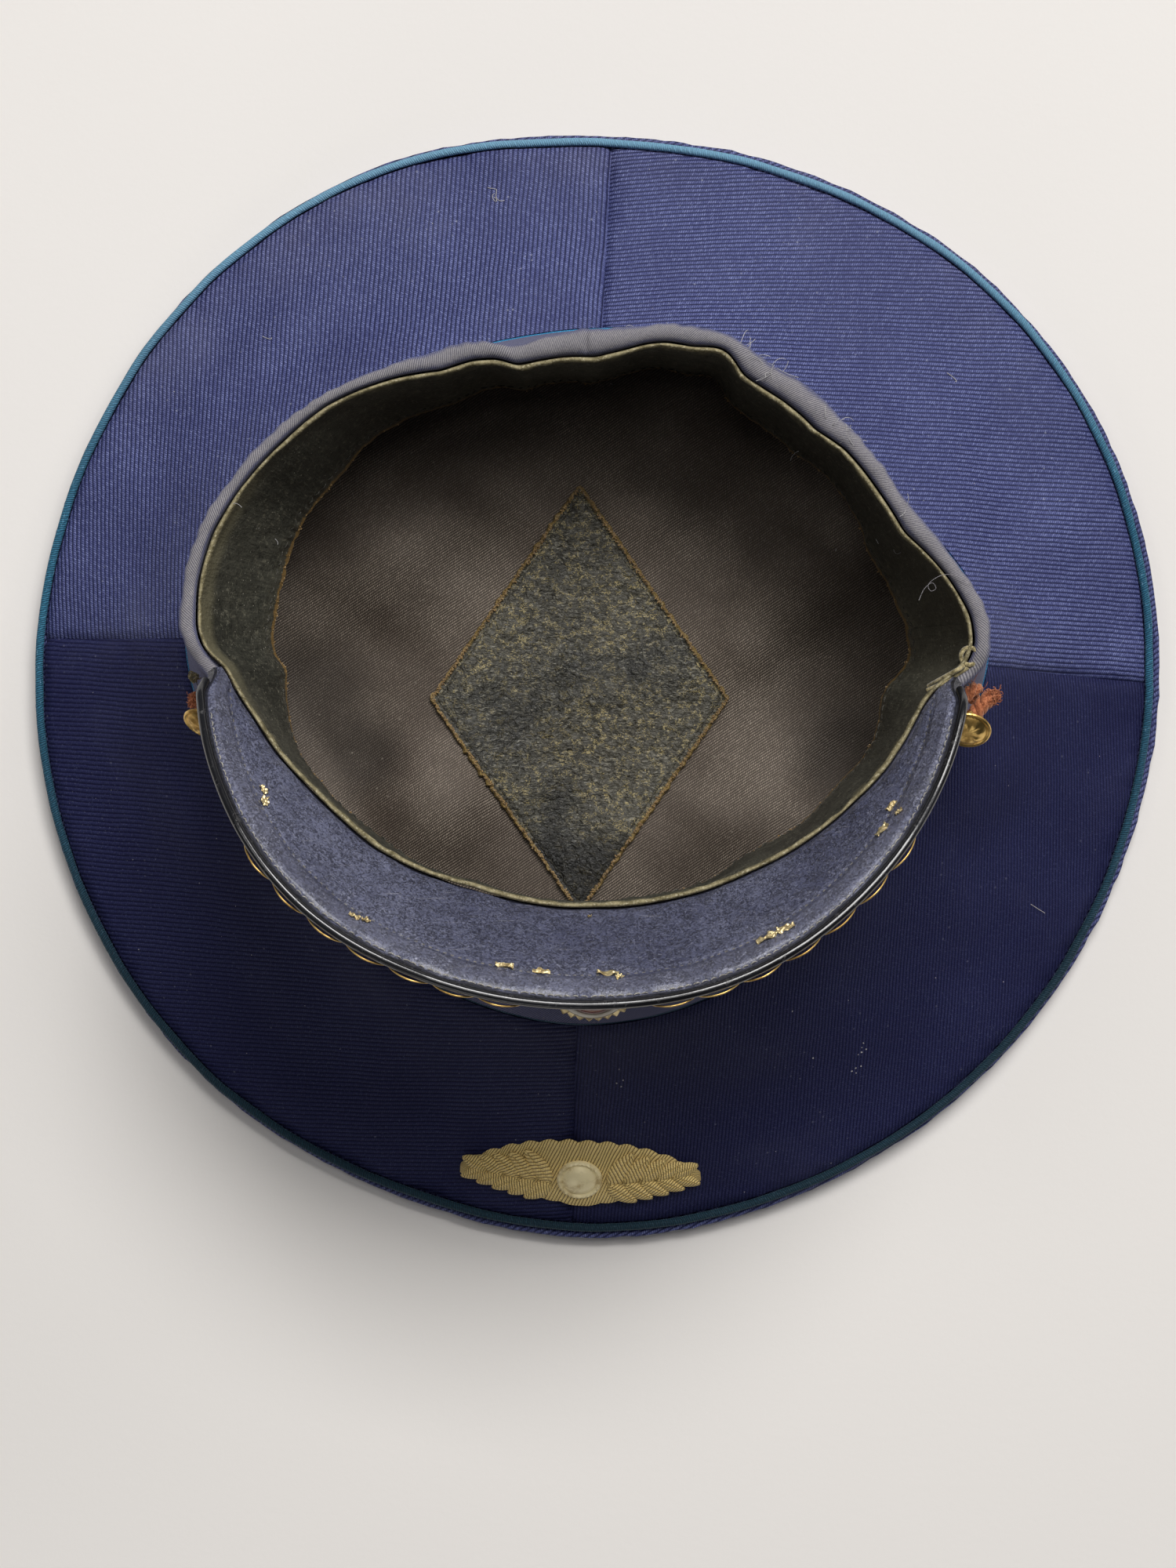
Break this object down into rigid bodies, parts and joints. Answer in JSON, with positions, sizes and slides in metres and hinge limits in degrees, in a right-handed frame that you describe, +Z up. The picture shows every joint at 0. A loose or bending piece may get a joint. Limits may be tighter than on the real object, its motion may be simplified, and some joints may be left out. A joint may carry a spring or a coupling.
{
  "type": "peaked uniform cap",
  "caption": "Dark-blue peaked uniform cap resting upside down on its crown, showing the lined inside, rolled band edge, sweatband and upturned visor.",
  "frame": {"origin": "middle of the crown's outline, on the flat crown face that the cap rests on", "axes": "+Z up out of the head opening, -Y towards the visor (the wearer's front), +X towards the right as seen from above with the visor nearest"},
  "size_m": [0.3124, 0.3064, 0.1282],
  "materials": {
    "uniform_twill": "dark-blue ribbed twill, light lint",
    "band_twill": "fine grey-blue twill, worn and fuzzy at the rolled edge",
    "piping_cloth": "cross-ribbed teal piping",
    "sweatband_oilcloth": "olive oilcloth, speckled, with a worn beige fold",
    "lining_twill": "fine brown lining twill, slight sheen",
    "patch_oilcloth": "dark grained oilcloth with stitched edges",
    "visor_leatherette": "pebbled blue-grey leatherette, scuffed",
    "edge_vinyl": "smooth grey bead",
    "gilt_metal": "gilt, worn",
    "pale_bullion": "pale gold, embossed",
    "orange_cord": "twisted terracotta cord, fuzzy"
  },
  "bodies": {
    "root": {"crown_top": "uniform_twill", "crown_quarter_back_right": "uniform_twill", "crown_quarter_back_left": "uniform_twill", "crown_quarter_front_left": "uniform_twill", "crown_quarter_front_right": "uniform_twill", "crown_piping": "piping_cloth", "cap_band": "band_twill", "band_piping": "piping_cloth", "sweatband": "sweatband_oilcloth", "lining": "lining_twill", "lining_patch": "patch_oilcloth", "visor": "visor_leatherette", "visor_edge": "edge_vinyl", "leaf_spray_left": "gilt_metal", "leaf_spray_right": "gilt_metal", "crown_badge": "pale_bullion", "chin_cord": "orange_cord", "band_cockade": "gilt_metal", "button_left": "gilt_metal", "button_right": "gilt_metal"}
  },
  "joints": []
}
